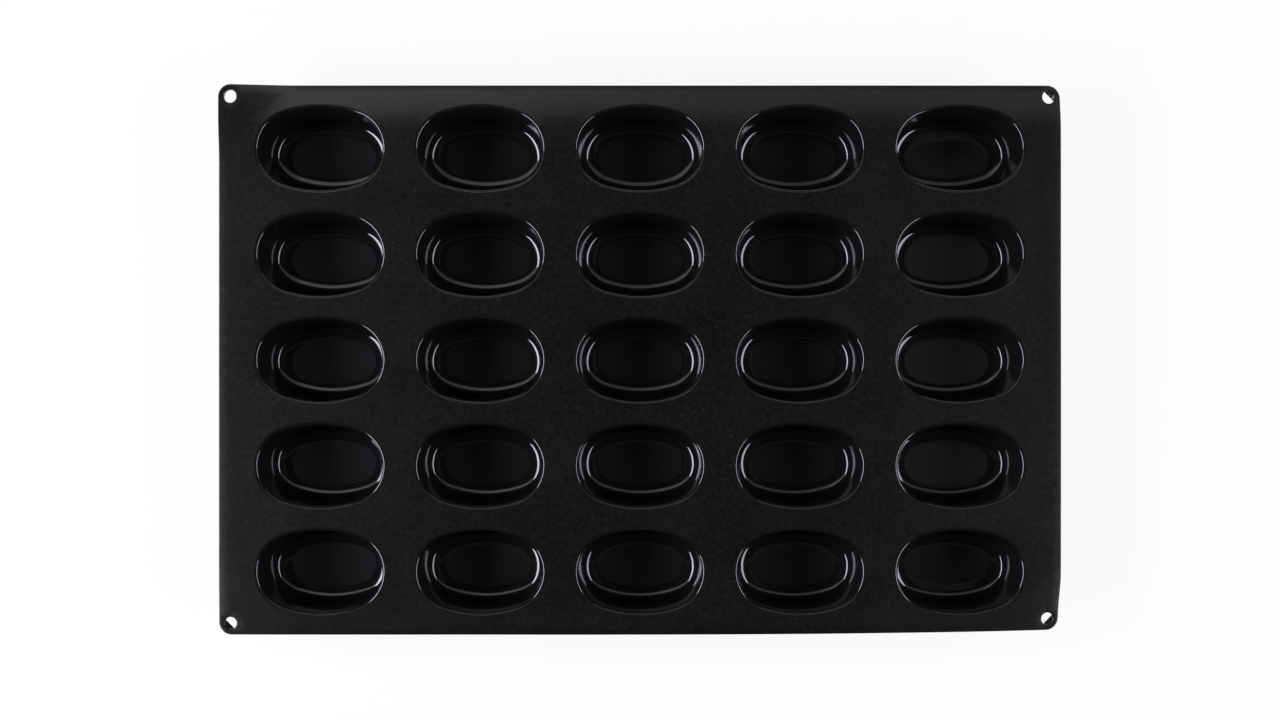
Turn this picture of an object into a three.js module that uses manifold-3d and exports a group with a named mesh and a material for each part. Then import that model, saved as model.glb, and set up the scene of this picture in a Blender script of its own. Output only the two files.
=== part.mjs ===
// Silicone baking mould: one flexible sheet in the 600 x 400 mm bakery tray format, with a grid
// of oval cups moulded below it. The cups taper towards a flat floor with a soft, wide corner.
// Each cup's floor is a solid of its own, because a thumb pushes it up from below to release
// the cake while the wall around it rolls inside out.
//
// Millimetres, +Z up. The origin lies under the middle of the grid, on the surface that the
// cups stand on. Rows are counted from the far edge (+Y) and columns from the left (-X).
import * as THREE from "three";
import { mergeVertices } from "three/addons/utils/BufferGeometryUtils.js";
import Module from "manifold-3d";

const wasm = await Module();
wasm.setup();

// Grid of cups
const COLUMNS = 5;
const ROWS = 5;
const WEB_X = 25.6; // sheet between two cups of one row
const WEB_Y = 16.85; // sheet between two rows
const BORDER_X = 27.8; // end cup's mouth to the sheet's short edge
const BORDER_Y = 15.5; // outer row's mouth to the sheet's long edge
const RIM_LAND = 3.5; // sheet between the outer row's mouth and the plain border bar

// Sheet
const SHEET_THICKNESS = 3;
const EDGE_ROUND = 0.6; // softened outer edge
const CORNER_RADIUS = 9;
const HOLE_DIAMETER = 8.8; // hanging hole in each corner
const HOLE_INSET = 8.2; // hole's centre to each of the two nearest edges

// Cup, measured on its inner surface
const MOUTH_LENGTH = 88.4;
const MOUTH_WIDTH = 58.6;
const SIDE_BOW = 2.8; // how far the long sides bow out past the end arcs' radius
const DEPTH = 36; // sheet's top to the floor's upper face
const DRAFT_DEGREES = 5.6; // wall's lean from upright
const RIM_ROUND = 2.5; // rounding of the mouth's edge
const CORNER_REACH = 12.5; // floor corner, along the floor
const CORNER_HEIGHT = 5.5; // floor corner, up the wall
const WALL = 2;
const FLOOR = 2;
const FOOT_WIDTH = 3; // flat ring round the floor that the cup stands on
const PARTING_GAP = 0.3; // line between a floor and its wall

// Facets
const END_STEPS = 6; // on each end arc of an oval
const SIDE_STEPS = 2; // on each side arc of an oval
const INNER_CORNER_STEPS = 3;
const OUTER_CORNER_STEPS = 2;
const RIM_STEPS = 2;
const SHEET_CORNER_STEPS = 5;
const HOLE_STEPS = 16;

// Derived sizes
const PITCH_X = MOUTH_LENGTH + WEB_X;
const PITCH_Y = MOUTH_WIDTH + WEB_Y;
const SHEET_LENGTH = (COLUMNS - 1) * PITCH_X + MOUTH_LENGTH + 2 * BORDER_X;
const SHEET_WIDTH = (ROWS - 1) * PITCH_Y + MOUTH_WIDTH + 2 * BORDER_Y;
const SHEET_TOP = FLOOR + DEPTH;
const SHEET_UNDERSIDE = SHEET_TOP - SHEET_THICKNESS;
const MOUTH_Z = SHEET_TOP - RIM_ROUND;
const CORNER_Z = FLOOR + CORNER_HEIGHT; // where the wall meets the floor corner
const DRAFT = THREE.MathUtils.degToRad(DRAFT_DEGREES);
const WALL_ACROSS = WALL / Math.cos(DRAFT); // wall measured level
const FLAT_INSET = wallInset(CORNER_Z) + CORNER_REACH; // mouth to the edge of the flat
const FOOT_INSET = FLAT_INSET + FOOT_WIDTH; // mouth to the foot ring's inner edge

// Level distance from the mouth's outline in to the drafted wall at height z.
function wallInset(z) {
  return (MOUTH_Z - z) * Math.tan(DRAFT);
}

// Points on an arc from one angle to another, without the last one.
function arc(x, y, radius, from, to, steps) {
  return Array.from({ length: steps }, (_, i) => {
    const angle = from + ((to - from) * i) / steps;
    return new THREE.Vector2(x + radius * Math.cos(angle), y + radius * Math.sin(angle));
  });
}

// Counter-clockwise outline of the mouth, drawn in by a level inset. It is an oval of four
// arcs: two tight ends, and two long sides that leave the ends without a corner.
function oval(inset) {
  const halfLength = MOUTH_LENGTH / 2;
  const halfWidth = MOUTH_WIDTH / 2;
  const endRadius = halfWidth - SIDE_BOW;
  const sideRadius = halfLength + (halfLength - halfWidth) ** 2 / (2 * SIDE_BOW);
  const endX = halfLength - endRadius;
  const sideY = sideRadius - halfWidth;
  const turn = Math.atan2(sideY, endX);
  return [
    ...arc(endX, 0, endRadius - inset, -turn, turn, END_STEPS),
    ...arc(0, -sideY, sideRadius - inset, turn, Math.PI - turn, SIDE_STEPS),
    ...arc(-endX, 0, endRadius - inset, Math.PI - turn, Math.PI + turn, END_STEPS),
    ...arc(0, sideY, sideRadius - inset, Math.PI + turn, 2 * Math.PI - turn, SIDE_STEPS),
  ];
}

// Quarter ellipse of the floor corner, from the wall down to the floor, as sections.
function corner(reach, height, steps) {
  return Array.from({ length: steps + 1 }, (_, i) => {
    const angle = (Math.PI / 2) * (i / steps);
    return {
      inset: FLAT_INSET - reach * Math.cos(angle),
      z: CORNER_Z - height * Math.sin(angle),
    };
  });
}

// Skin through oval sections. A closed loft returns to its first section and makes a ring;
// an open one is capped at both ends.
function loft(sections, closed) {
  const rings = sections.map(({ inset, z }) => oval(inset).map((p) => [p.x, p.y, z]));
  const count = rings[0].length;
  const indices = [];
  const strips = closed ? rings.length : rings.length - 1;
  for (let i = 0; i < strips; i++) {
    const low = i * count;
    const high = ((i + 1) % rings.length) * count;
    for (let j = 0; j < count; j++) {
      const next = (j + 1) % count;
      indices.push(low + j, low + next, high + next);
      indices.push(low + j, high + next, high + j);
    }
  }
  if (!closed) {
    const last = (rings.length - 1) * count;
    for (let j = 1; j < count - 1; j++) {
      indices.push(0, j + 1, j);
      indices.push(last, last + j, last + j + 1);
    }
  }
  return new THREE.BufferGeometry()
    .setAttribute("position", new THREE.Float32BufferAttribute(rings.flat(2), 3))
    .setIndex(indices);
}

// A closed geometry as a solid for cutting.
function toSolid(geometry) {
  const bare = geometry.clone().deleteAttribute("normal").deleteAttribute("uv");
  const merged = mergeVertices(bare);
  return new wasm.Manifold(
    new wasm.Mesh({
      numProp: 3,
      vertProperties: merged.attributes.position.array,
      triVerts: new Uint32Array(merged.index.array),
    }),
  );
}

// A cut solid as a geometry again.
function toGeometry(solid) {
  const { vertProperties, triVerts } = solid.getMesh();
  return new THREE.BufferGeometry()
    .setAttribute("position", new THREE.BufferAttribute(vertProperties, 3))
    .setIndex(new THREE.BufferAttribute(triVerts, 1));
}

function columnX(column) {
  return (column - (COLUMNS - 1) / 2) * PITCH_X;
}

function rowY(row) {
  return ((ROWS - 1) / 2 - row) * PITCH_Y;
}

// Plain plate with rounded corners and softened edges.
function plate() {
  const x = SHEET_LENGTH / 2 - CORNER_RADIUS;
  const y = SHEET_WIDTH / 2 - CORNER_RADIUS;
  const quarter = Math.PI / 2;
  const outline = [[x, y], [-x, y], [-x, -y], [x, -y]].flatMap(([cx, cy], i) => {
    const end = new THREE.Vector2(0, CORNER_RADIUS).rotateAround(new THREE.Vector2(), i * quarter);
    const round = arc(cx, cy, CORNER_RADIUS, i * quarter, (i + 1) * quarter, SHEET_CORNER_STEPS);
    return [...round, end.add(new THREE.Vector2(cx, cy))];
  });
  return new THREE.ExtrudeGeometry(new THREE.Shape(outline), {
    depth: SHEET_THICKNESS - 2 * EDGE_ROUND,
    bevelThickness: EDGE_ROUND,
    bevelSize: EDGE_ROUND,
    bevelOffset: -EDGE_ROUND,
    bevelSegments: 1,
  }).translate(0, 0, SHEET_UNDERSIDE + EDGE_ROUND);
}

// What a cup's mouth removes from the sheet: the drafted wall and the rounded rim above it.
function mouthCutter() {
  const below = SHEET_UNDERSIDE - SHEET_THICKNESS;
  const above = SHEET_TOP + SHEET_THICKNESS;
  const rim = Array.from({ length: RIM_STEPS + 1 }, (_, i) => {
    const angle = (Math.PI / 2) * (i / RIM_STEPS);
    return {
      inset: -RIM_ROUND * (1 - Math.cos(angle)),
      z: MOUTH_Z + RIM_ROUND * Math.sin(angle),
    };
  });
  return loft([{ inset: wallInset(below), z: below }, ...rim, { inset: -RIM_ROUND, z: above }], false);
}

// Flat sheet, open at every cup and with a hanging hole in each corner.
function sheetSolid() {
  const mouth = toSolid(mouthCutter());
  const bar = new THREE.CylinderGeometry(
    HOLE_DIAMETER / 2,
    HOLE_DIAMETER / 2,
    3 * SHEET_THICKNESS,
    HOLE_STEPS,
  );
  const hole = toSolid(bar.rotateX(Math.PI / 2));
  let sheet = toSolid(plate());
  for (let row = 0; row < ROWS; row++) {
    for (let column = 0; column < COLUMNS; column++) {
      sheet = sheet.subtract(mouth.translate([columnX(column), rowY(row), 0]));
    }
  }
  const holeX = SHEET_LENGTH / 2 - HOLE_INSET;
  const holeY = SHEET_WIDTH / 2 - HOLE_INSET;
  for (const [sideX, sideY] of [[1, 1], [-1, 1], [-1, -1], [1, -1]]) {
    sheet = sheet.subtract(hole.translate([sideX * holeX, sideY * holeY, SHEET_UNDERSIDE]));
  }
  return sheet;
}

// Upright block between two lengths and two widths, taller than the sheet.
function slab(left, right, front, back) {
  const block = new THREE.BoxGeometry(right - left, back - front, 2 * SHEET_TOP);
  return toSolid(block.translate((left + right) / 2, (front + back) / 2, SHEET_TOP));
}

// The sheet in pieces that meet face to face: comb-shaped strips that meet on the columns' centre
// lines and, between the two end strips, a plain bar along each long edge.
function sheetPieces() {
  const barX = columnX(COLUMNS - 1);
  const barY = SHEET_WIDTH / 2 - BORDER_Y + RIM_LAND;
  const slabs = {
    border_back: slab(-barX, barX, barY, SHEET_WIDTH),
    border_front: slab(-barX, barX, -SHEET_WIDTH, -barY),
    sheet_left: slab(-SHEET_LENGTH, -barX, -SHEET_WIDTH, SHEET_WIDTH),
    sheet_right: slab(barX, SHEET_LENGTH, -SHEET_WIDTH, SHEET_WIDTH),
  };
  for (let i = 1; i < COLUMNS; i++) {
    slabs[`sheet_c${i}_c${i + 1}`] = slab(columnX(i - 1), columnX(i), -barY, barY);
  }
  const sheet = sheetSolid();
  return Object.entries(slabs).map(([name, cut]) => [name, toGeometry(sheet.intersect(cut))]);
}

// Ring of drafted wall, floor corner and flat foot, open at the top and round the floor.
function wallGeometry() {
  const topInset = wallInset(SHEET_UNDERSIDE);
  const inner = corner(CORNER_REACH, CORNER_HEIGHT, INNER_CORNER_STEPS);
  const outer = corner(CORNER_REACH + WALL_ACROSS, CORNER_HEIGHT + FLOOR, OUTER_CORNER_STEPS);
  const sections = [
    { inset: FOOT_INSET, z: 0 },
    ...outer.reverse(),
    { inset: topInset - WALL_ACROSS, z: SHEET_UNDERSIDE },
    { inset: topInset, z: SHEET_UNDERSIDE },
    ...inner,
    { inset: FOOT_INSET, z: FLOOR },
  ];
  return loft(sections, true);
}

// Flat floor that closes the ring and moves when it is pushed from below.
function floorGeometry() {
  const outline = new THREE.Shape(oval(FOOT_INSET + PARTING_GAP));
  return new THREE.ExtrudeGeometry(outline, { depth: FLOOR, bevelEnabled: false });
}

// The sheet's top is satin; the cups come glossy from a polished tool.
function satinSilicone() {
  return new THREE.MeshStandardMaterial({ color: 0x1e1e20, roughness: 0.45, metalness: 0 });
}

function glossSilicone() {
  return new THREE.MeshStandardMaterial({ color: 0x0d0d0e, roughness: 0.12, metalness: 0 });
}

function mesh(name, geometry, material) {
  const made = new THREE.Mesh(geometry, material);
  made.name = name;
  return made;
}

const mould = new THREE.Group();
for (const [name, piece] of sheetPieces()) mould.add(mesh(name, piece, satinSilicone()));
const wall = wallGeometry();
const floor = floorGeometry();
for (let row = 0; row < ROWS; row++) {
  for (let column = 0; column < COLUMNS; column++) {
    const place = `r${row + 1}_c${column + 1}`;
    const cup = new THREE.Group();
    cup.position.set(columnX(column), rowY(row), 0);
    cup.add(mesh(`cup_wall_${place}`, wall, glossSilicone()));
    cup.add(mesh(`cup_floor_${place}`, floor, glossSilicone()));
    mould.add(cup);
  }
}

export default mould;
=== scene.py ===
"""Looks of a black silicone baking mould: one flexible sheet with a grid of oval cups below it.

The frame gives the cups' places, the sheet's edges and its levels. Each cup is one skin of
silicone that hangs from the sheet.
"""
import math

import bmesh
import bpy
from bpy.props import FloatProperty, FloatVectorProperty, PointerProperty
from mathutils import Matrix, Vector, noise
from mathutils.geometry import delaunay_2d_cdt


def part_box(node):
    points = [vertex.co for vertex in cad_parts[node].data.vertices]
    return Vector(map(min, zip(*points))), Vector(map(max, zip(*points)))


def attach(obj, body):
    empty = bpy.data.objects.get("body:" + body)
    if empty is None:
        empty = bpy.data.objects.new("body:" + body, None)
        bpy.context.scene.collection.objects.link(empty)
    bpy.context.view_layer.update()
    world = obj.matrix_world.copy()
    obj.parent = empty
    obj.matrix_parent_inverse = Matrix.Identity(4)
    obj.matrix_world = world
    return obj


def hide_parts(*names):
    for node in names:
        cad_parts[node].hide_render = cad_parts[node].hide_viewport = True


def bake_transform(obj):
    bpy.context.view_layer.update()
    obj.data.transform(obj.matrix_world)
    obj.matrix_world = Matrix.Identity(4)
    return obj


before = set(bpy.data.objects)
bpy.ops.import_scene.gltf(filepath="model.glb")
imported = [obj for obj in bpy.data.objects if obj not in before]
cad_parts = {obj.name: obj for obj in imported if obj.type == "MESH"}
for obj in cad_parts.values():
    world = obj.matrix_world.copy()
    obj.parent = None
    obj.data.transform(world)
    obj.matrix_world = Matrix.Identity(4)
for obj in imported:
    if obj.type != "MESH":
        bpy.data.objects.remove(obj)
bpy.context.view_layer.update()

bl_info = {
    "name": "Oval Cup Baking Mould",
    "version": (1, 0, 0),
    "blender": (4, 5, 0),
    "location": "View3D > Sidebar > Mould",
    "description": "Builds a silicone sheet with a grid of oval cups, and a stage to photograph it on",
    "category": "Add Mesh",
}

MM = 0.001

# Places and levels from the frame. A cup's place is its row and column, such as r1_c1.
SHEET_NODES = sorted(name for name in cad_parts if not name.startswith("cup_"))
PLACES = sorted(name.removeprefix("cup_floor_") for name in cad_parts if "floor" in name)
SHEET_LOW = Vector(map(min, zip(*(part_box(name)[0] for name in SHEET_NODES))))
SHEET_HIGH = Vector(map(max, zip(*(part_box(name)[1] for name in SHEET_NODES))))
FLOOR_LOW, FLOOR_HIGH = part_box(f"cup_floor_{PLACES[0]}")

# Bend of each corner, by right and back side, as a share of the corner curl. Up is above zero.
CORNER_BENDS = {(False, True): 1.0, (True, True): -0.12, (False, False): -0.17, (True, False): -0.3}

LAMP_COLOUR = "#f5f5ff"

DROOP_POWER = 1.2  # how fast the back edge's droop grows: 1 is a fold, 2 an even bend
CURL_POWER = 1.3  # the same for a bent corner
# Faces this level inside a cup get the paler floor black: painted light from above.
LEVEL_FACE = math.cos(math.radians(4.5))  # upward part of a face's normal that makes it flat floor
CALM_SHARE = 0.6  # of the wall's height, above which the sway of the inner skin dies out

# How the soft sheet strays from flat. Reaches are measured from a mouth, or in from the outer edge.
HELD_REACH = 4 * MM  # from a mouth, as far as the sheet keeps true
FREE_REACH = 13 * MM  # from a mouth, to where the sheet strays in full
BORDER_REACH = 14 * MM  # where the border's own droop starts
BORDER_PAST = 2 * MM  # past the edge, where that droop would be full
PULL_REACH = 45 * MM  # where the pull on the front edge starts
PULL_FULL = 9 * MM  # where that pull is full
PULL_POWER = 2  # how fast the pull grows towards the right end
TIP_POWER = 4  # how much faster its sideways part grows
TIP_SHARE = 0.55  # of the pull, that draws the corner's tip sideways
BACK_RUN = 0.8 * MM  # how far the back edge runs out
BACK_REACH = 12 * MM  # where that run starts

# Facets
END_POINTS = 48  # on each end arc of an oval
SIDE_POINTS = 28  # on each side arc of an oval
RIM_STEPS = 6
WALL_STEPS = 18
CORNER_STEPS = 24
FLARE_STEPS = 6
SHEET_CORNER_STEPS = 14
HOLE_POINTS = 40
EDGE_STEPS = 4
EDGE_MARGIN = 0.45  # of the mesh spacing, from a point on the flat to any edge
WELD_REACH = 0.01 * MM  # points of a cup that lie this near become one
MERGE_REACH = 0.001 * MM  # the same for points of the sheet
CREASE = math.radians(40)  # edges that turn more than this stay sharp


def linear(hex_colour):
    """Linear RGBA of an sRGB hex colour."""
    channels = [int(hex_colour[i:i + 2], 16) / 255 for i in (1, 3, 5)]
    return (*(c / 12.92 if c <= 0.04045 else ((c + 0.055) / 1.055) ** 2.4 for c in channels), 1.0)


def length(name, description, millimetres):
    """A length that a user can set."""
    return FloatProperty(
        name=name, description=description, default=millimetres * MM, unit="LENGTH", precision=4
    )


def brightness(name, description, radiance):
    """A light's radiance that a user can set, where 1 is white."""
    return FloatProperty(name=name, description=description, default=radiance)


def colour(name, description, hex_colour):
    """A colour that a user can set."""
    return FloatVectorProperty(
        name=name, description=description, default=linear(hex_colour), size=4, subtype="COLOR"
    )


class CupSizes(bpy.types.PropertyGroup):
    """Sizes of one cup, measured on its inner surface."""

    mouth_length: length("Mouth Length", "Inside length of a cup at its mouth", 88.4)
    mouth_width: length("Mouth Width", "Inside width of a cup at its mouth", 58.6)
    side_bow: length("Side Bow", "How far the long sides bow out past the end arcs' radius", 2.8)
    draft: FloatProperty(
        name="Draft", description="Lean of the wall from upright", default=math.radians(5.6),
        subtype="ANGLE",
    )
    rim_round: length("Rim Round", "Rounding of the mouth's edge", 2.5)
    corner_reach: length("Corner Reach", "Floor corner, along the floor", 12.5)
    corner_height: length("Corner Height", "Floor corner, up the wall", 5.5)
    wall: length("Wall", "Thickness of the wall", 2)
    foot_width: length("Foot Width", "Flat ring round the floor that the cup stands on", 3)
    root_flare: length("Root Flare", "Fillet between the wall and the underside of the sheet", 2)
    flex: length("Flex", "How far the soft inner skin strays from its true shape", 0.12)
    flex_length: length("Flex Length", "Distance between two swells of the inner skin", 34)


class SheetSizes(bpy.types.PropertyGroup):
    """Sizes of the flat sheet."""

    corner_radius: length("Corner Radius", "Rounding of the sheet's corners in plan", 9)
    edge_round: length("Edge Round", "Rounding of the sheet's outer edge", 0.6)
    hole_diameter: length("Hole Diameter", "Hanging hole in each corner", 8.8)
    hole_inset: length("Hole Inset", "Hole's centre to each of the two nearest edges", 8.2)
    mesh_spacing: length("Mesh Spacing", "Distance between points on the flat", 6)
    wave_height: length("Wave Height", "How far the flat sways up or down between the cups", 0.3)
    wave_length: length("Wave Length", "Distance between two swells of the sheet", 95)
    border_droop: length("Border Droop", "How far the sheet's free border hangs down", 0.25)
    back_droop: length("Back Droop", "How far the back edge hangs down with the cups' rims", 3.1)
    droop_reach: length("Droop Reach", "How far in from the back edge that droop starts", 29)
    corner_curl: length("Corner Curl", "How far the most bent corner stands up", 4.5)
    curl_reach: length("Curl Reach", "Corner's tip to the line where its bend starts", 38)
    front_pull: length("Front Pull", "How far the right end of the front edge is drawn in", 3.4)
    hole_flash: length("Hole Flash", "How far moulding flash reaches across a hanging hole", 3.2)


class FinishColours(bpy.types.PropertyGroup):
    """Colours of the silicone."""

    satin: colour("Satin Black", "Silicone from the matt side of the tool", "#040404")
    # The gloss black is paler than the satin: painted light that lifts the shaded inside of the cups.
    gloss: colour("Gloss Black Painted Light", "Silicone from the polished cups of the tool", "#121214")
    # The floor black is a shade paler than the gloss: painted light on the cups' flat floors, which face
    # up.
    floor: colour("Floor Black Painted Light", "Silicone from the finer ground end faces of the cups", "#202023")
    bloom: colour("Bloom", "Paler patches where the satin side was handled and washed", "#161615")
    dust: colour("Dust", "Lint and flour that cling to the silicone", "#5c5c5e")


class StageSettings(bpy.types.PropertyGroup):
    """Camera and light."""

    camera_height: length("Camera Height", "Camera above the sheet's top", 778)
    view_width: length("View Width", "Width of the picture on the sheet's top", 911)
    camera_x: length("Camera X", "Camera to the right of the grid's middle", 3.6)
    camera_y: length("Camera Y", "Camera behind the grid's middle, or before it below zero", -25.7)
    key: brightness("Key Softbox", "Radiance of the softbox on the left", 16.0)
    fill: brightness("Fill Softbox", "Radiance of the softbox on the right", 9.5)
    back: brightness("Back Panel", "Radiance of the low panel behind the mould", 2.2)
    top_left: brightness("Top Panel Left", "Radiance of the faint panel high on the left", 0.045)
    top_right: brightness("Top Panel Right", "Radiance of the faint panel high on the right", 0.1)
    overhead: brightness("Overhead", "Radiance of the wide, soft light from above", 0.35)
    wall: brightness("Back Wall", "Radiance of the pale wall behind", 0.62)
    glow: brightness("Wall Glow", "More of it on the wall's left side", 0.85)
    strip: brightness("Ceiling Strip", "Radiance of a narrow pale strip overhead", 0.1)
    gloom: brightness("Gloom", "Radiance of the rest of the studio", 0.028)


class MouldSettings(bpy.types.PropertyGroup):
    """All settings of the mould and its stage."""

    cup: PointerProperty(type=CupSizes)
    sheet: PointerProperty(type=SheetSizes)
    finish: PointerProperty(type=FinishColours)
    stage: PointerProperty(type=StageSettings)


def add_node(tree, kind, settings=None, inputs=None):
    """Add a node with its settings. Inputs map a socket's name or index to a value or an output."""
    node = tree.nodes.new(kind)
    for name, value in (settings or {}).items():
        setattr(node, name, value)
    for key, value in (inputs or {}).items():
        if isinstance(value, bpy.types.NodeSocket):
            tree.links.new(value, node.inputs[key])
        else:
            node.inputs[key].default_value = value
    return node


def new_material(name):
    """An empty material and its node tree."""
    material = bpy.data.materials.new(name)
    material.use_nodes = True
    material.node_tree.nodes.clear()
    return material, material.node_tree


def spread(start, stop, steps):
    """Even steps from start to stop, with both ends."""
    return [start + (stop - start) * i / steps for i in range(steps + 1)]


def between(start, stop, steps):
    """Points on the straight line between two others, without its ends."""
    shares = (i / steps for i in range(1, steps))
    return [tuple(a + (b - a) * share for a, b in zip(start, stop)) for share in shares]


def polar(angle, radius):
    """Level vector from an angle and a length."""
    return Vector((math.cos(angle), math.sin(angle))) * radius


def smooth(value, low, high):
    """Smooth step from 0 at low to 1 at high."""
    t = min(max((value - low) / (high - low), 0.0), 1.0)
    return t * t * (3 - 2 * t)


class CupShape:
    """Outline and levels that follow from the cup's sizes. An inset is level, from the mouth in."""

    def __init__(self, cup):
        self.cup = cup
        self.mouth_z = SHEET_HIGH.z - cup.rim_round
        self.corner_z = FLOOR_HIGH.z + cup.corner_height
        self.across = cup.wall / math.cos(cup.draft)
        self.flat_inset = (self.mouth_z - self.corner_z) * math.tan(cup.draft) + cup.corner_reach
        self.foot_inset = self.flat_inset + cup.foot_width
        half_length, half_width = cup.mouth_length / 2, cup.mouth_width / 2
        self.end_radius = half_width - cup.side_bow
        self.side_radius = half_length + (half_length - half_width) ** 2 / (2 * cup.side_bow)
        self.end_x = half_length - self.end_radius
        self.side_y = self.side_radius - half_width
        self.turn = math.atan2(self.side_y, self.end_x)

    def outline(self, inset):
        """Counter-clockwise oval of four arcs: two tight ends and two long, bowed sides."""
        arcs = (
            (self.end_x, 0, self.end_radius, -self.turn, self.turn, END_POINTS),
            (0, -self.side_y, self.side_radius, self.turn, math.pi - self.turn, SIDE_POINTS),
            (-self.end_x, 0, self.end_radius, math.pi - self.turn, math.pi + self.turn, END_POINTS),
            (0, self.side_y, self.side_radius, math.pi + self.turn, math.tau - self.turn, SIDE_POINTS),
        )
        points = []
        for x, y, radius, start, stop, steps in arcs:
            for angle in spread(start, stop, steps)[:-1]:
                points.append(polar(angle, radius - inset) + Vector((x, y)))
        return points

    def distance(self, x, y):
        """How far a point lies outside the mouth, below zero inside it."""
        x, y = abs(x), abs(y)
        if math.atan2(y, x - self.end_x) < self.turn:
            return math.hypot(x - self.end_x, y) - self.end_radius
        return math.hypot(x, y + self.side_y) - self.side_radius

    def corner(self, reach, height):
        """Quarter ellipse from the drafted wall to the flat, as (outward, up) points."""
        start = math.atan(math.tan(self.cup.draft) * height / reach)
        return [
            (reach * math.cos(a) - self.flat_inset, self.corner_z - height * math.sin(a))
            for a in spread(start, math.pi / 2, CORNER_STEPS)
        ]

    def inner_section(self):
        """Inside of the cup as (outward, up) points, from the sheet's top to the flat floor."""
        rim = self.cup.rim_round
        mouth = [
            (rim - rim * math.cos(a), self.mouth_z + rim * math.sin(a))
            for a in spread(math.pi / 2, self.cup.draft, RIM_STEPS)
        ]
        corner = self.corner(self.cup.corner_reach, self.cup.corner_height)
        flat = [(-self.foot_inset, FLOOR_HIGH.z)]
        return mouth + between(mouth[-1], corner[0], WALL_STEPS) + corner + flat

    def outer_section(self):
        """Outside of the cup as (outward, up) points, from the sheet's top to the foot ring."""
        flare = self.cup.root_flare
        under = SHEET_LOW.z - flare
        wall = self.across - (self.mouth_z - under) * math.tan(self.cup.draft)
        seam = [(self.cup.rim_round, SHEET_HIGH.z), (self.cup.rim_round, SHEET_LOW.z)]
        root = [
            (wall + flare - flare * math.cos(a), under + flare * math.sin(a))
            for a in spread(math.pi / 2, 0.0, FLARE_STEPS)
        ]
        corner = self.corner(self.cup.corner_reach + self.across, self.corner_z - FLOOR_LOW.z)
        foot = [(-self.foot_inset, FLOOR_LOW.z)]
        return seam + root + between(root[-1], corner[0], WALL_STEPS) + corner + foot


def guide_curve(name, points, closed):
    """A poly curve that the cup tree sweeps, or sweeps along."""
    curve = bpy.data.curves.new(name, "CURVE")
    curve.dimensions = "3D"
    spline = curve.splines.new("POLY")
    spline.points.add(len(points) - 1)
    spline.use_cyclic_u = closed
    for point, (x, y) in zip(spline.points, points):
        point.co = (x, y, 0.0, 1.0)
    return bpy.data.objects.new(name, curve)


# Named inputs of the cup tree, by the kind of their sockets
CUP_INPUTS = {
    "NodeSocketObject": ("Mouth", "Inner Section", "Outer Section"),
    "NodeSocketFloat": (
        "Foot Inset", "Floor Level", "Foot Level", "Calm Level", "Rim Level", "Flex", "Flex Scale",
        "Seed", "Droop", "Droop Start", "Droop End", "Top Level", "Weld",
    ),
    "NodeSocketVector": ("Centre",),
    "NodeSocketMaterial": ("Satin", "Gloss", "Floor"),
}


def cup_tree():
    """Geometry nodes that sweep a cup's two sections round its mouth and close them with a floor."""
    tree = bpy.data.node_groups.new("Oval Cup", "GeometryNodeTree")
    for kind, names in CUP_INPUTS.items():
        for name in names:
            tree.interface.new_socket(name=name, in_out="INPUT", socket_type=kind)
    tree.interface.new_socket(name="Geometry", in_out="OUTPUT", socket_type="NodeSocketGeometry")
    given = add_node(tree, "NodeGroupInput").outputs
    inner, outer = add_skins(tree, given)
    whole = add_node(tree, "GeometryNodeJoinGeometry")
    tree.links.new(add_sway(tree, given, inner), whole.inputs[0])
    tree.links.new(outer, whole.inputs[0])
    welded = add_node(
        tree, "GeometryNodeMergeByDistance",
        inputs={"Geometry": whole.outputs[0], "Distance": given["Weld"]},
    )
    placed = add_node(
        tree, "GeometryNodeTransform",
        inputs={"Geometry": welded.outputs[0], "Translation": given["Centre"]},
    )
    drooped = add_droop(tree, given, placed.outputs[0])
    real = add_node(tree, "GeometryNodeRealizeInstances", inputs={"Geometry": drooped})
    finished = add_finishes(tree, given, real.outputs[0])
    add_node(tree, "NodeGroupOutput", inputs={"Geometry": finished})
    return tree


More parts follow.
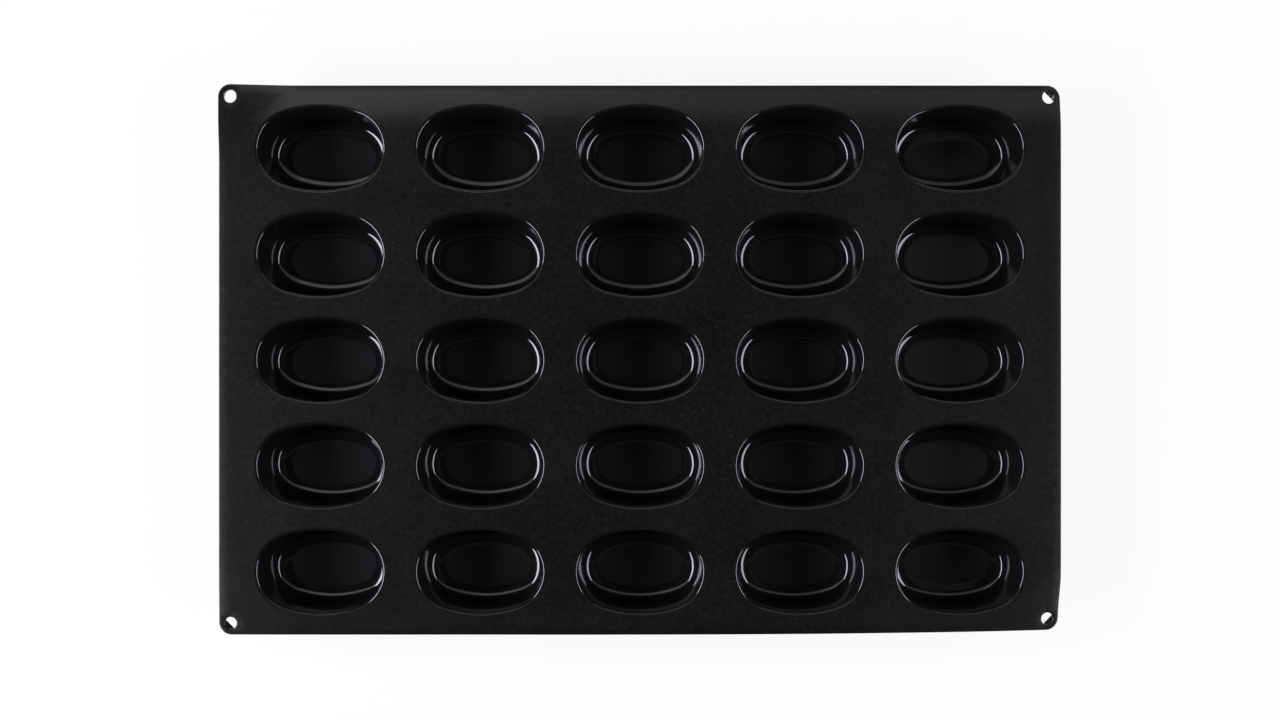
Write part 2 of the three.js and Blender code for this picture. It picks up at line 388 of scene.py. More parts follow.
def add_skins(tree, given):
    """Inner and outer skin of a cup, each a swept section and a flat.

    The inner sweep and the outer flat come out turned the wrong way round, so they are flipped.
    """
    mouth = add_node(tree, "GeometryNodeObjectInfo", inputs={"Object": given["Mouth"]})
    rail = add_node(
        tree, "GeometryNodeSetCurveNormal", {"mode": "Z_UP"}, {"Curve": mouth.outputs["Geometry"]}
    ).outputs["Curve"]

    # Outline of the flat, drawn in from the mouth along the curve's own normals.
    outward = add_node(tree, "GeometryNodeInputNormal").outputs["Normal"]
    inset = add_node(
        tree, "ShaderNodeMath", {"operation": "MULTIPLY"}, {0: given["Foot Inset"], 1: -1.0}
    )
    inward = add_node(
        tree, "ShaderNodeVectorMath", {"operation": "SCALE"}, {0: outward, "Scale": inset.outputs[0]}
    )
    flat_edge = add_node(
        tree, "GeometryNodeSetPosition", inputs={"Geometry": rail, "Offset": inward.outputs[0]}
    )
    flat = add_node(
        tree, "GeometryNodeFillCurve", {"mode": "NGONS"}, {"Curve": flat_edge.outputs["Geometry"]}
    )

    skins = []
    for name, level in (("Inner Section", "Floor Level"), ("Outer Section", "Foot Level")):
        section = add_node(tree, "GeometryNodeObjectInfo", inputs={"Object": given[name]})
        swept = add_node(
            tree, "GeometryNodeCurveToMesh", inputs={
                "Curve": rail, "Profile Curve": section.outputs["Geometry"], "Scale": 1.0
            },
        )
        height = add_node(tree, "ShaderNodeCombineXYZ", inputs={"Z": given[level]})
        floor = add_node(
            tree, "GeometryNodeTransform",
            inputs={"Geometry": flat.outputs["Mesh"], "Translation": height.outputs[0]},
        )
        kept, wrong = (floor, swept) if name == "Inner Section" else (swept, floor)
        turned = add_node(tree, "GeometryNodeFlipFaces", inputs={"Mesh": wrong.outputs[0]})
        skin = add_node(tree, "GeometryNodeJoinGeometry")
        tree.links.new(kept.outputs[0], skin.inputs[0])
        tree.links.new(turned.outputs[0], skin.inputs[0])
        skins.append(skin.outputs[0])
    return skins


def add_sway(tree, given, skin):
    """The inner skin, marked as polished. It sways a little, being soft, but stays true at its rim."""
    position = add_node(tree, "GeometryNodeInputPosition").outputs[0]
    level = add_node(tree, "ShaderNodeSeparateXYZ", inputs={0: position}).outputs["Z"]
    calm = add_node(
        tree, "ShaderNodeMapRange", {"interpolation_type": "SMOOTHSTEP"}, {
            "Value": level, "From Min": given["Calm Level"], "From Max": given["Rim Level"],
            "To Min": 1.0, "To Max": 0.0,
        },
    )
    swell = add_node(
        tree, "ShaderNodeTexNoise", {"noise_dimensions": "4D", "normalize": False}, {
            "Vector": position, "W": given["Seed"], "Scale": given["Flex Scale"], "Detail": 0.0,
        },
    )
    reach = add_node(
        tree, "ShaderNodeMath", {"operation": "MULTIPLY"}, {0: calm.outputs[0], 1: given["Flex"]}
    )
    sway = add_node(
        tree, "ShaderNodeVectorMath", {"operation": "SCALE"},
        {0: swell.outputs["Color"], "Scale": reach.outputs[0]},
    )
    soft = add_node(
        tree, "GeometryNodeSetPosition", inputs={"Geometry": skin, "Offset": sway.outputs[0]}
    )
    polished = add_node(
        tree, "GeometryNodeStoreNamedAttribute", {"data_type": "BOOLEAN", "domain": "FACE"},
        {"Geometry": soft.outputs["Geometry"], "Name": "polished", "Value": True},
    )
    return polished.outputs[0]


def add_droop(tree, given, cup):
    """A placed cup, whose top goes down with the drooping back edge of the mould."""
    position = add_node(tree, "GeometryNodeInputPosition").outputs[0]
    point = add_node(tree, "ShaderNodeSeparateXYZ", inputs={0: position}).outputs
    behind = add_node(
        tree, "ShaderNodeMapRange", inputs={
            "Value": point["Y"], "From Min": given["Droop Start"], "From Max": given["Droop End"],
        },
    )
    bend = add_node(
        tree, "ShaderNodeMath", {"operation": "POWER"}, {0: behind.outputs[0], 1: DROOP_POWER}
    )
    hold = add_node(
        tree, "ShaderNodeMath", {"operation": "DIVIDE"}, {0: point["Z"], 1: given["Top Level"]}
    )
    share = add_node(
        tree, "ShaderNodeMath", {"operation": "MULTIPLY"}, {0: bend.outputs[0], 1: hold.outputs[0]}
    )
    sink = add_node(
        tree, "ShaderNodeMath", {"operation": "MULTIPLY"}, {0: share.outputs[0], 1: given["Droop"]}
    )
    down = add_node(
        tree, "ShaderNodeVectorMath", {"operation": "SCALE"},
        {0: (0.0, 0.0, -1.0), "Scale": sink.outputs[0]},
    )
    drooped = add_node(
        tree, "GeometryNodeSetPosition", inputs={"Geometry": cup, "Offset": down.outputs[0]}
    )
    return drooped.outputs[0]


def add_finishes(tree, given, cup):
    """A cup with its materials: satin outside, and gloss inside over a paler black, which is painted
    light in the shaded cup. The flat floor has a paler black again: painted light from above.
    """
    matt = add_node(
        tree, "GeometryNodeSetMaterial", inputs={"Geometry": cup, "Material": given["Satin"]}
    )
    inside = add_node(
        tree, "GeometryNodeInputNamedAttribute", {"data_type": "BOOLEAN"}, {"Name": "polished"}
    )
    shiny = add_node(
        tree, "GeometryNodeSetMaterial", inputs={
            "Geometry": matt.outputs[0], "Selection": inside.outputs[0], "Material": given["Gloss"]
        },
    )
    normal = add_node(tree, "GeometryNodeInputNormal").outputs["Normal"]
    upward = add_node(tree, "ShaderNodeSeparateXYZ", inputs={0: normal}).outputs["Z"]
    level_face = add_node(
        tree, "FunctionNodeCompare", {"data_type": "FLOAT", "operation": "GREATER_THAN"},
        {0: upward, 1: LEVEL_FACE},
    )
    lit_floor_mask = add_node(
        tree, "FunctionNodeBooleanMath", {"operation": "AND"},
        {0: level_face.outputs[0], 1: inside.outputs[0]},
    )
    # The flat floor gets a paler black: painted light from above.
    floor_painted_lit = add_node(
        tree, "GeometryNodeSetMaterial", inputs={
            "Geometry": shiny.outputs[0], "Selection": lit_floor_mask.outputs[0], "Material": given["Floor"]
        },
    )
    return floor_painted_lit.outputs[0]


def finish_mesh(mesh):
    """Smooth shading with sharp creases, after a test that the mesh is closed and faces out."""
    bm = bmesh.new()
    bm.from_mesh(mesh)
    open_edges = sum(not edge.is_contiguous for edge in bm.edges)
    volume = bm.calc_volume(signed=True)
    bm.free()
    if open_edges or volume <= 0:
        raise RuntimeError(f"{mesh.name} has {open_edges} open edges and a volume of {volume:.3g}")
    mesh.shade_smooth()
    mesh.set_sharp_from_angle(angle=CREASE)


class MOULD_OT_add_stage(bpy.types.Operator):
    """Add the white floor, the lamps and the camera above the mould"""

    bl_idname = "mould.add_stage"
    bl_label = "Add Stage"

    def execute(self, context):
        stage = context.scene.mould.stage
        context.scene.view_settings.view_transform = "Standard"
        add_camera(context, stage)
        add_floor(context)
        add_world(context, stage)
        for name, panel in lamp_panels(stage).items():
            add_panel(context, name, **panel)
        return {"FINISHED"}


def add_camera(context, stage):
    """Camera that looks straight down, shifted so that the grid's middle is the picture's middle."""
    data = bpy.data.cameras.new("camera")
    data.lens = data.sensor_width * stage.camera_height / stage.view_width
    data.shift_x = -stage.camera_x / stage.view_width
    data.shift_y = -stage.camera_y / stage.view_width
    camera = bpy.data.objects.new("camera", data)
    camera.location = (stage.camera_x, stage.camera_y, SHEET_HIGH.z + stage.camera_height)
    context.scene.collection.objects.link(camera)
    context.scene.camera = camera


def add_floor(context):
    """White floor that the camera sees nearly as its own light, so that only a faint shadow shows.

    It lies a hair below the cups' feet, and is clear from below, so that the underside shows.
    """
    reach = 6.0  # metres
    gap = 0.1 * MM
    own_light = 0.86  # share of it in what the camera sees
    mesh = bpy.data.meshes.new("floor")
    corners = [(-reach, -reach, -gap), (reach, -reach, -gap), (reach, reach, -gap), (-reach, reach, -gap)]
    mesh.from_pydata(corners, [], [(0, 1, 2, 3)])
    floor = bpy.data.objects.new("floor", mesh)
    context.scene.collection.objects.link(floor)

    material, tree = new_material("white_seamless_paper")
    paper = add_node(tree, "ShaderNodeBsdfDiffuse", inputs={"Color": linear("#f4f4f4")})
    light = add_node(tree, "ShaderNodeEmission", inputs={"Color": linear("#ffffff"), "Strength": 1.0})
    path = add_node(tree, "ShaderNodeLightPath")
    seen = add_node(
        tree, "ShaderNodeMath", {"operation": "MAXIMUM"},
        {0: path.outputs["Is Camera Ray"], 1: path.outputs["Is Glossy Ray"]},
    )
    share = add_node(
        tree, "ShaderNodeMath", {"operation": "MULTIPLY"}, {0: seen.outputs[0], 1: own_light}
    )
    mix = add_node(
        tree, "ShaderNodeMixShader",
        inputs={0: share.outputs[0], 1: paper.outputs[0], 2: light.outputs[0]},
    )
    side = add_node(tree, "ShaderNodeNewGeometry")
    clear = add_node(tree, "ShaderNodeBsdfTransparent")
    one_sided = add_node(
        tree, "ShaderNodeMixShader",
        inputs={0: side.outputs["Backfacing"], 1: mix.outputs[0], 2: clear.outputs[0]},
    )
    add_node(tree, "ShaderNodeOutputMaterial", inputs={"Surface": one_sided.outputs[0]})
    mesh.materials.append(material)


def add_world(context, stage):
    """White beyond the floor for the camera; a dim studio for the light and the reflections.

    The studio has a pale wall behind the mould, brighter on its left side, and a strip across its
    ceiling. Each has soft edges, given as angles in degrees from none of it to all of it: for the
    wall's top and foot and the strip's two sides from straight up towards the back, for the wall's
    ends from its middle, and for its bright side from the right.
    """
    world = bpy.data.worlds.new("studio")
    world.use_nodes = True
    tree = world.node_tree
    tree.nodes.clear()
    direction = add_node(tree, "ShaderNodeTexCoord").outputs["Generated"]
    part = add_node(tree, "ShaderNodeSeparateXYZ", inputs={0: direction}).outputs
    back = add_node(
        tree, "ShaderNodeMath", {"operation": "DIVIDE"}, {0: part["Y"], 1: part["Z"]}
    ).outputs[0]
    forms = {
        "wall": ((back, math.tan, 23, 30), (back, math.tan, 41, 35), (part["Y"], math.cos, 79, 73)),
        "bright side": ((part["X"], math.cos, 84, 107),),
        "strip": ((back, math.tan, -15.5, -14), (back, math.tan, -10.5, -12)),
    }
    shares = {}
    for form, edges in forms.items():
        shares[form] = 1.0
        for along, measure, none, full in edges:
            edge = add_node(
                tree, "ShaderNodeMapRange", {"interpolation_type": "SMOOTHSTEP"}, {
                    "Value": along, "From Min": measure(math.radians(none)),
                    "From Max": measure(math.radians(full)),
                },
            )
            shares[form] = add_node(
                tree, "ShaderNodeMath", {"operation": "MULTIPLY"}, {0: shares[form], 1: edge.outputs[0]}
            ).outputs[0]
    light = add_node(
        tree, "ShaderNodeMath", {"operation": "MULTIPLY_ADD"},
        {0: shares["bright side"], 1: stage.glow, 2: stage.wall},
    )
    above = add_node(
        tree, "ShaderNodeMath", {"operation": "MULTIPLY_ADD"},
        {0: shares["strip"], 1: stage.strip, 2: stage.gloom},
    )
    radiance = add_node(
        tree, "ShaderNodeMath", {"operation": "MULTIPLY_ADD"},
        {0: shares["wall"], 1: light.outputs[0], 2: above.outputs[0]},
    )
    studio = add_node(
        tree, "ShaderNodeBackground", inputs={"Color": linear("#ffffff"), "Strength": radiance.outputs[0]}
    )
    white = add_node(
        tree, "ShaderNodeBackground", inputs={"Color": linear("#ffffff"), "Strength": 1.0}
    )
    path = add_node(tree, "ShaderNodeLightPath")
    mix = add_node(
        tree, "ShaderNodeMixShader",
        inputs={0: path.outputs["Is Camera Ray"], 1: studio.outputs[0], 2: white.outputs[0]},
    )
    add_node(tree, "ShaderNodeOutputWorld", inputs={"Surface": mix.outputs[0]})
    context.scene.world = world


def lamp_panels(stage):
    """Softboxes and reflectors as seen from the mould: degrees from +X and up from level, and metres."""
    side = {"rise": 28, "distance": 1.7, "width": 1.75, "height": 0.45}
    top = {"rise": 70, "distance": 4.05, "height": 0.7}
    return {
        "softbox_left": {"turn": 189, **side, "radiance": stage.key},
        "softbox_right": {"turn": -10, **side, "radiance": stage.fill},
        "back_panel": {
            "turn": 90, "rise": 14, "distance": 1.7, "width": 2.6, "height": 0.35, "radiance": stage.back,
        },
        "top_panel_left": {"turn": 176, **top, "width": 2.0, "radiance": stage.top_left},
        "top_panel_right": {"turn": 8, **top, "width": 1.55, "radiance": stage.top_right},
        "overhead": {
            "turn": 0, "rise": 90, "distance": 3, "width": 2, "height": 2, "radiance": stage.overhead,
            "mirrored": False,
        },
    }


def add_panel(context, name, turn, rise, distance, width, height, radiance, mirrored=True):
    """An even rectangular lamp that faces the middle of the sheet's top, and may show in gloss."""
    data = bpy.data.lights.new(name, "AREA")
    data.shape = "RECTANGLE"
    data.size = width
    data.size_y = height
    data.energy = radiance * math.pi * width * height
    data.color = linear(LAMP_COLOUR)[:3]
    turn, rise = math.radians(turn), math.radians(rise)
    out = Vector((math.cos(turn) * math.cos(rise), math.sin(turn) * math.cos(rise), math.sin(rise)))
    lamp = bpy.data.objects.new(name, data)
    lamp.location = Vector((0, 0, SHEET_HIGH.z)) + out * distance
    lamp.rotation_euler = out.to_track_quat("Z", "Y").to_euler()
    lamp.visible_camera = False
    lamp.visible_glossy = mirrored
    context.scene.collection.objects.link(lamp)


def dusted(tree, place, skin, dust, spacing, bare, largest):
    """Colour of a skin with specks of dust on it, at most one in each cell of a loose grid.

    Some cells stay bare, as a share of all. The largest speck's radius is a share of the spacing.
    """
    cells = add_node(tree, "ShaderNodeTexVoronoi", inputs={"Vector": place, "Scale": 1 / spacing})
    chance = add_node(tree, "ShaderNodeSeparateColor", inputs={0: cells.outputs["Color"]})
    radius = add_node(
        tree, "ShaderNodeMapRange", inputs={
            "Value": chance.outputs[0], "From Min": bare, "From Max": 1.0,
            "To Min": 0.0, "To Max": largest,
        },
    )
    speck = add_node(
        tree, "ShaderNodeMath", {"operation": "LESS_THAN"},
        {0: cells.outputs["Distance"], 1: radius.outputs[0]},
    )
    return add_node(
        tree, "ShaderNodeMix", {"data_type": "RGBA"}, {0: speck.outputs[0], 6: skin, 7: tuple(dust)}
    ).outputs[2]


def satin_silicone(finish):
    """Compression-moulded silicone rubber from a fine-blasted tool.

    It gives the eye a satin black: a wide haze round each lamp, a clearer skin that shows the studio,
    cloudy handling marks, a mottle of bloom that dulls the shine, and pale specks of lint and flour.
    """
    grain_size = 1.2 * MM  # coarser than the real grain, which is too fine to draw
    grain_depth = 0.02 * MM
    mottle_size = 3.2 * MM
    cloud_size = 42 * MM
    cloud_share = 0.35  # of the clouds in the bloom, on top of the mottle
    speck_spacing = 5 * MM
    material, tree = new_material("satin_moulded_silicone")
    place = add_node(tree, "ShaderNodeTexCoord").outputs["Object"]
    clouds = add_node(
        tree, "ShaderNodeTexNoise",
        inputs={"Vector": place, "Scale": 1 / cloud_size, "Detail": 2.0},
    )
    mottle = add_node(
        tree, "ShaderNodeTexNoise",
        inputs={"Vector": place, "Scale": 1 / mottle_size, "Detail": 4.0, "Roughness": 0.65},
    )
    patches = add_node(
        tree, "ShaderNodeMath", {"operation": "MULTIPLY_ADD"},
        {0: clouds.outputs["Fac"], 1: cloud_share, 2: mottle.outputs["Fac"]},
    )
    bloom = add_node(
        tree, "ShaderNodeMapRange", inputs={
            "Value": patches.outputs[0], "From Min": 0.475, "From Max": 0.875,
            "To Min": 0.0, "To Max": 1.0,
        },
    )
    rough = add_node(
        tree, "ShaderNodeMapRange", inputs={"Value": bloom.outputs[0], "To Min": 0.28, "To Max": 0.296}
    )
    skin = add_node(
        tree, "ShaderNodeMix", {"data_type": "RGBA"},
        {0: bloom.outputs[0], 6: tuple(finish.satin), 7: tuple(finish.bloom)},
    )
    base = dusted(tree, place, skin.outputs[2], finish.dust, speck_spacing, bare=0.55, largest=0.06)
    grain = add_node(
        tree, "ShaderNodeTexNoise", inputs={"Vector": place, "Scale": 1 / grain_size, "Detail": 2.0}
    )
    bump = add_node(
        tree, "ShaderNodeBump",
        inputs={"Strength": 0.25, "Distance": grain_depth, "Height": grain.outputs["Fac"]},
    )
    surface = add_node(
        tree, "ShaderNodeBsdfPrincipled", inputs={
            "Base Color": base, "Roughness": rough.outputs[0], "IOR": 1.5,
            "Specular IOR Level": 0.45, "Normal": bump.outputs[0],
            "Coat Weight": 0.2, "Coat Roughness": 0.06, "Coat IOR": 1.5,
        },
    )
    add_node(tree, "ShaderNodeOutputMaterial", inputs={"Surface": surface.outputs[0]})
    return material


def gloss_silicone(finish):
    """Silicone rubber from the polished cups of the tool.

    It gives the eye a deep, wet-looking black that mirrors the lamps in thin bright lines, broken
    by a soft waviness and a few specks. Its black is paler than the satin's: painted light that
    lifts the shaded inside of the cups.
    """
    return cup_silicone("glossy_black_painted_light", finish.gloss, finish.dust)


def floor_black_painted_light(finish):
    """The flat floor of each cup, with painted light: a black a shade paler than the wall's.

    It gives the eye the same mirror as the wall. The paler black paints in the light that the floor
    catches from above.
    """
    return cup_silicone("fine_ground_silicone", finish.floor, finish.dust)


def cup_silicone(name, black, dust):
    """The inside of a cup: a mirror-like black with a soft waviness and a few specks. The black is paler
    than the satin's, as painted light in the shaded cup.
    """
    wave_size = 16 * MM
    wave_depth = 0.1 * MM
    speck_spacing = 9 * MM
    material, tree = new_material(name)
    place = add_node(tree, "ShaderNodeTexCoord").outputs["Object"]
    waves = add_node(
        tree, "ShaderNodeTexNoise", inputs={"Vector": place, "Scale": 1 / wave_size, "Detail": 1.0}
    )
    rough = add_node(
        tree, "ShaderNodeMapRange", inputs={
            "Value": waves.outputs["Fac"], "From Min": 0.3, "From Max": 0.7,
            "To Min": 0.07, "To Max": 0.11,
        },
    )
    base = dusted(tree, place, tuple(black), dust, speck_spacing, bare=0.75, largest=0.035)
    bump = add_node(
        tree, "ShaderNodeBump",
        inputs={"Strength": 0.3, "Distance": wave_depth, "Height": waves.outputs["Fac"]},
    )
    surface = add_node(
        tree, "ShaderNodeBsdfPrincipled", inputs={
            "Base Color": base, "Roughness": rough.outputs[0], "IOR": 1.5,
            "Normal": bump.outputs[0],
        },
    )
    add_node(tree, "ShaderNodeOutputMaterial", inputs={"Surface": surface.outputs[0]})
    return material


def material_for(name, maker, finish):
    """The material of that name, made the first time it is asked for."""
    return bpy.data.materials.get(name) or maker(finish)


class MOULD_OT_add_cups(bpy.types.Operator):
    """Add every cup as one skin of silicone between the sheet and its floor"""

    bl_idname = "mould.add_cups"
    bl_label = "Add Cups"

    def execute(self, context):
        settings = context.scene.mould
        shape = CupShape(settings.cup)
        tree = cup_tree()
        fixed = {
            "Mouth": guide_curve("mouth", shape.outline(0.0), True),
            "Inner Section": guide_curve("inner_section", sweep_points(shape.inner_section()), False),
            "Outer Section": guide_curve("outer_section", sweep_points(shape.outer_section()), False),
            "Foot Inset": shape.foot_inset,
            "Floor Level": FLOOR_HIGH.z,
            "Foot Level": FLOOR_LOW.z,
            "Calm Level": shape.corner_z + CALM_SHARE * (shape.mouth_z - shape.corner_z),
            "Rim Level": shape.mouth_z - settings.cup.rim_round,
            "Flex": settings.cup.flex,
            "Flex Scale": 1 / settings.cup.flex_length,
            "Weld": WELD_REACH,
            "Droop": settings.sheet.back_droop,
            "Droop Start": SHEET_HIGH.y - settings.sheet.droop_reach,
            "Droop End": SHEET_HIGH.y,
            "Top Level": SHEET_HIGH.z,
            "Satin": material_for("satin_moulded_silicone", satin_silicone, settings.finish),
            # Gloss: its paler black is painted light in the shaded cups.
            "Gloss": material_for("glossy_black_painted_light", gloss_silicone, settings.finish),
            # Floor: a paler black on the flat floors, painted light.
            "Floor": material_for("fine_ground_silicone", floor_black_painted_light, settings.finish),
        }
        for seed, place in enumerate(PLACES):
            low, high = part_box(f"cup_floor_{place}")
            centre = ((low.x + high.x) / 2, (low.y + high.y) / 2, 0.0)
            cup = grow(context, f"cup_{place}", tree, {**fixed, "Centre": centre, "Seed": float(seed)})
            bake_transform(cup)
            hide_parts(f"cup_wall_{place}", f"cup_floor_{place}")
        for name in ("Mouth", "Inner Section", "Outer Section"):
            bpy.data.objects.remove(fixed[name])
        return {"FINISHED"}


def sweep_points(section):
    """A section as the sweep reads it: outward along X, and down along Y."""
    return [(outward, -up) for outward, up in section]


def grow(context, name, tree, values):
    """A plain mesh piece that a tree makes from named inputs."""
    piece = bpy.data.objects.new(name, bpy.data.meshes.new(name))
    modifier = piece.modifiers.new(tree.name, "NODES")
    modifier.node_group = tree
    for item in tree.interface.items_tree:
        if item.in_out == "INPUT":
            modifier[item.identifier] = values[item.name]
    context.scene.collection.objects.link(piece)
    evaluated = piece.evaluated_get(context.evaluated_depsgraph_get())
    mesh = bpy.data.meshes.new_from_object(evaluated)
    mesh.name = name
    piece.modifiers.clear()
    piece.data = mesh
    finish_mesh(mesh)
    return piece


class SheetShape:
    """Outlines of the sheet, and how it strays from flat."""

    def __init__(self, sheet, cup_shape):
        self.sheet = sheet
        self.cup_shape = cup_shape
        boxes = [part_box(f"cup_floor_{place}") for place in PLACES]
        self.centres = [((low + high) / 2).xy for low, high in boxes]
        inset = sheet.hole_inset
        self.holes = [
            Vector((x, y))
            for x in (SHEET_LOW.x + inset, SHEET_HIGH.x - inset)
            for y in (SHEET_LOW.y + inset, SHEET_HIGH.y - inset)
        ]

    def outline(self, inset):
        """Counter-clockwise rounded rectangle, drawn in by an inset, with points along its sides."""
        radius = self.sheet.corner_radius
        corners = (
            (SHEET_HIGH.x - radius, SHEET_HIGH.y - radius),
            (SHEET_LOW.x + radius, SHEET_HIGH.y - radius),
            (SHEET_LOW.x + radius, SHEET_LOW.y + radius),
            (SHEET_HIGH.x - radius, SHEET_LOW.y + radius),
        )
        turns = []
        for quarter, centre in enumerate(corners):
            quarters = spread(quarter, quarter + 1, SHEET_CORNER_STEPS)
            turns.append([Vector(centre) + polar(math.pi / 2 * q, radius - inset) for q in quarters])
        points = []
        for turn, following in zip(turns, turns[1:] + turns[:1]):
            steps = round((following[0] - turn[-1]).length / self.sheet.mesh_spacing)
            points += turn + [Vector(p) for p in between(turn[-1], following[0], steps)]
        return points

    def hole(self, centre, grow_by, depth):
        """Counter-clockwise ring of a hanging hole, grown by a rounding, at a share of its depth.

        Flash closes part of each hole towards the corner, except in the corner that stands up.
        """
        radius = self.sheet.hole_diameter / 2 + grow_by
        corner = Vector((math.copysign(1, centre.x), math.copysign(1, centre.y))).normalized()
        flash = self.sheet.hole_flash * depth if CORNER_BENDS[centre.x > 0, centre.y > 0] < 0 else 0.0
        points = []
        for i in range(HOLE_POINTS):
            arm = polar(math.tau * i / HOLE_POINTS, radius)
            over = max(0.0, arm.dot(corner) - (radius - flash))
            points.append(centre + arm - corner * over)
        return points

    def mouth(self, centre):
        """Counter-clockwise seam where the sheet meets a cup."""
        return [centre + point for point in self.cup_shape.outline(-self.cup_shape.cup.rim_round)]

    def clear_of_mouths(self, x, y):
        """Distance from a point to the nearest mouth."""
        return min(self.cup_shape.distance(x - centre.x, y - centre.y) for centre in self.centres)

    def freedom(self, x, y):
        """How freely the sheet strays at a point: not at all beside a mouth, and in full far from it."""
        return smooth(self.clear_of_mouths(x, y), HELD_REACH, FREE_REACH)

    def rise(self, x, y):
        """Height of the sheet's waves, its drooping border and its bent corners at a point."""
        sheet = self.sheet
        swell = noise.noise(Vector((x, y, 0.0)) / sheet.wave_length) * sheet.wave_height
        out_x = max(SHEET_LOW.x - x, x - SHEET_HIGH.x)
        out_y = max(SHEET_LOW.y - y, y - SHEET_HIGH.y)
        droop = sheet.border_droop * smooth(max(out_x, out_y), -BORDER_REACH, BORDER_PAST)
        tip = sheet.corner_curl * CORNER_BENDS[x > 0, y > 0]
        curl = tip * self.past_fold(out_x, out_y) ** CURL_POWER
        return self.freedom(x, y) * (swell - droop + curl)

    def past_fold(self, out_x, out_y):
        """Share of the way from a corner's fold line to its tip."""
        return max(0.0, 1 + (out_x + out_y) / (math.sqrt(2) * self.sheet.curl_reach))

    def back_sag(self, y, z):
        """How far a point is taken down by the droop of the back edge."""
        past = max(0.0, 1 + (y - SHEET_HIGH.y) / self.sheet.droop_reach)
        return self.sheet.back_droop * past ** DROOP_POWER * z / SHEET_HIGH.z

    def pull(self, x, y):
        """Sideways stray of the border: its back edge runs out a little, its front right end in."""
        front = smooth(-y, -SHEET_LOW.y - PULL_REACH, -SHEET_LOW.y - PULL_FULL)
        right = max(0.0, x / SHEET_HIGH.x) ** PULL_POWER
        sideways = -TIP_SHARE * (front * right ** TIP_POWER) * self.sheet.front_pull
        inwards = front * right * self.sheet.front_pull
        back = BACK_RUN * smooth(y, SHEET_HIGH.y - BACK_REACH, SHEET_HIGH.y)
        return Vector((sideways, inwards + back)) * self.freedom(x, y)

    def flat_points(self):
        """Staggered points between the openings, clear of every edge."""
        step = self.sheet.mesh_spacing
        margin = EDGE_MARGIN * step
        rows = math.ceil((SHEET_HIGH.y - SHEET_LOW.y) / step)
        columns = math.ceil((SHEET_HIGH.x - SHEET_LOW.x) / step)
        hole_reach = self.sheet.hole_diameter / 2 + self.sheet.edge_round + margin
        edge_reach = self.sheet.edge_round + margin
        points = []
        for row in range(rows):
            for column in range(columns):
                x = SHEET_LOW.x + (column + 0.5 * (row % 2)) * step
                y = SHEET_LOW.y + row * step
                to_edge = min(x - SHEET_LOW.x, SHEET_HIGH.x - x, y - SHEET_LOW.y, SHEET_HIGH.y - y)
                to_hole = min((Vector((x, y)) - hole).length for hole in self.holes)
                to_mouth = self.clear_of_mouths(x, y)
                if to_edge > edge_reach and to_hole > hole_reach and to_mouth > margin:
                    points.append(Vector((x, y)))
        return points

    def edge_section(self):
        """Rounded edge as (inset, height) from the top to the underside."""
        radius = self.sheet.edge_round
        upper = [
            (radius - radius * math.sin(a), SHEET_HIGH.z - radius + radius * math.cos(a))
            for a in spread(0.0, math.pi / 2, EDGE_STEPS)
        ]
        lower = [(inset, SHEET_HIGH.z + SHEET_LOW.z - z) for inset, z in reversed(upper)]
        return upper + lower

    def loops(self):
        """Each closed edge as its rings of (points, height), from the top to the underside."""
        section = self.edge_section()
        loops = [[(self.outline(inset), z) for inset, z in section]]
        for centre in self.holes:
            loops.append([
                (self.hole(centre, inset, (SHEET_HIGH.z - z) / (SHEET_HIGH.z - SHEET_LOW.z)), z)
                for inset, z in section
            ])
        for centre in self.centres:
            loops.append([(self.mouth(centre), z) for z in (SHEET_HIGH.z, SHEET_LOW.z)])
        return loops


def flat_faces(shape, loops):
    """The flat between all edges, as points, triangles and the place of each edge's points in them."""
    points, edges, loop_of = [], [], {}
    for number, rings in enumerate(loops):
        ring = rings[0][0]
        start = len(points)
        points += ring
        edges += [(start + i, start + (i + 1) % len(ring)) for i in range(len(ring))]
        loop_of.update({start + i: number for i in range(len(ring))})
    points += shape.flat_points()
    inside_outline = 1
    flat, _, faces, origins, _, _ = delaunay_2d_cdt(points, edges, [], inside_outline, MERGE_REACH)
    made_from = {given: index for index, sources in enumerate(origins) for given in sources}
    loop_of = {made_from[given]: number for given, number in loop_of.items()}

    # Openings are convex and hold no points, so a face with one opening's points alone fills it.
    def fills_opening(face):
        numbers = {loop_of.get(index, 0) for index in face}
        return len(numbers) == 1 and numbers != {0}

    return flat, [face for face in faces if not fills_opening(face)], made_from


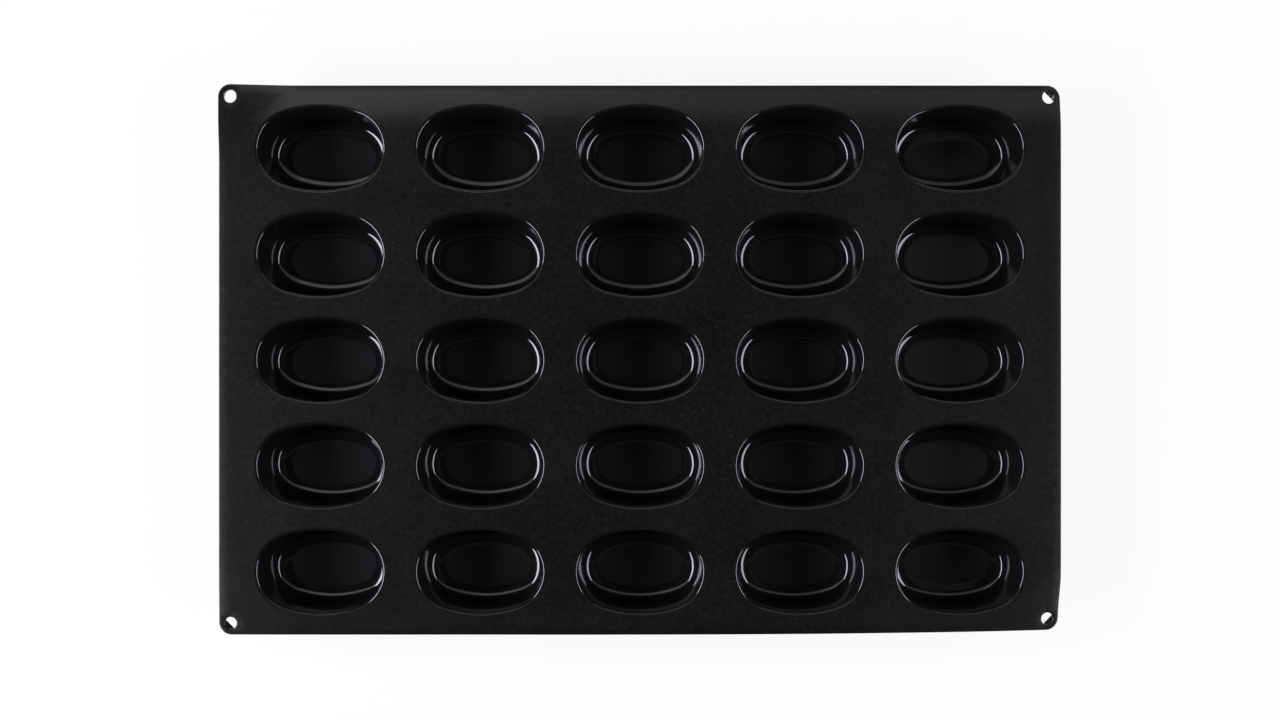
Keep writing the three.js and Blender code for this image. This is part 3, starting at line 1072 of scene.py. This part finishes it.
def sheet_mesh(shape):
    """The sheet as a closed mesh: a waved top and underside, joined along every edge."""
    loops = shape.loops()
    flat, faces, made_from = flat_faces(shape, loops)
    bm = bmesh.new()

    def place(point, z):
        rise = shape.rise(point.x, point.y) - shape.back_sag(point.y, z)
        stray = shape.pull(point.x, point.y)
        return point.x + stray.x, point.y + stray.y, z + rise

    def level(point, z):
        return bm.verts.new(place(point, z))

    used = {index for face in faces for index in face}
    top = {index: level(flat[index], SHEET_HIGH.z) for index in used}
    under = {index: level(flat[index], SHEET_LOW.z) for index in used}
    for face in faces:
        bm.faces.new([top[index] for index in face])
        bm.faces.new([under[index] for index in reversed(face)])

    start = 0
    for rings in loops:
        count = len(rings[0][0])
        indices = [made_from[start + i] for i in range(count)]
        courses = [[top[index] for index in indices]]
        courses += [[level(point, z) for point in ring] for ring, z in rings[1:-1]]
        courses += [[under[index] for index in indices]]
        low_ring, low_z = rings[-1]
        for index, point in zip(indices, low_ring):
            under[index].co = place(point, low_z)
        for upper, lower in zip(courses, courses[1:]):
            for i in range(count):
                following = (i + 1) % count
                bm.faces.new((upper[following], upper[i], lower[i], lower[following]))
        start += count
    bmesh.ops.recalc_face_normals(bm, faces=bm.faces)
    mesh = bpy.data.meshes.new("sheet")
    bm.to_mesh(mesh)
    bm.free()
    return mesh


class MOULD_OT_add_sheet(bpy.types.Operator):
    """Add the flat sheet with its mouths and hanging holes"""

    bl_idname = "mould.add_sheet"
    bl_label = "Add Sheet"

    def execute(self, context):
        settings = context.scene.mould
        mesh = sheet_mesh(SheetShape(settings.sheet, CupShape(settings.cup)))
        mesh.materials.append(material_for("satin_moulded_silicone", satin_silicone, settings.finish))
        finish_mesh(mesh)
        sheet = bpy.data.objects.new("sheet", mesh)
        context.scene.collection.objects.link(sheet)
        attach(sheet, "mould")
        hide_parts(*SHEET_NODES)
        return {"FINISHED"}


class MOULD_PT_sidebar(bpy.types.Panel):
    """Settings of the mould, and the steps that build it"""

    bl_idname = "MOULD_PT_sidebar"
    bl_label = "Oval Cup Mould"
    bl_space_type = "VIEW_3D"
    bl_region_type = "UI"
    bl_category = "Mould"

    def draw(self, context):
        settings = context.scene.mould
        for group in (settings.cup, settings.sheet, settings.finish, settings.stage):
            box = self.layout.box()
            for name in group.__annotations__:
                box.prop(group, name)
        for operator in OPERATORS:
            self.layout.operator(operator.bl_idname)


OPERATORS = (MOULD_OT_add_stage, MOULD_OT_add_cups, MOULD_OT_add_sheet)
GROUPS = (CupSizes, SheetSizes, FinishColours, StageSettings, MouldSettings)


def register():
    for cls in (*GROUPS, *OPERATORS, MOULD_PT_sidebar):
        bpy.utils.register_class(cls)
    bpy.types.Scene.mould = PointerProperty(type=MouldSettings)


def unregister():
    del bpy.types.Scene.mould
    for cls in reversed((*GROUPS, *OPERATORS, MOULD_PT_sidebar)):
        bpy.utils.unregister_class(cls)


def main():
    register()
    bpy.ops.mould.add_stage()
    bpy.ops.mould.add_cups()
    bpy.ops.mould.add_sheet()


if __name__ == "__main__":
    main()
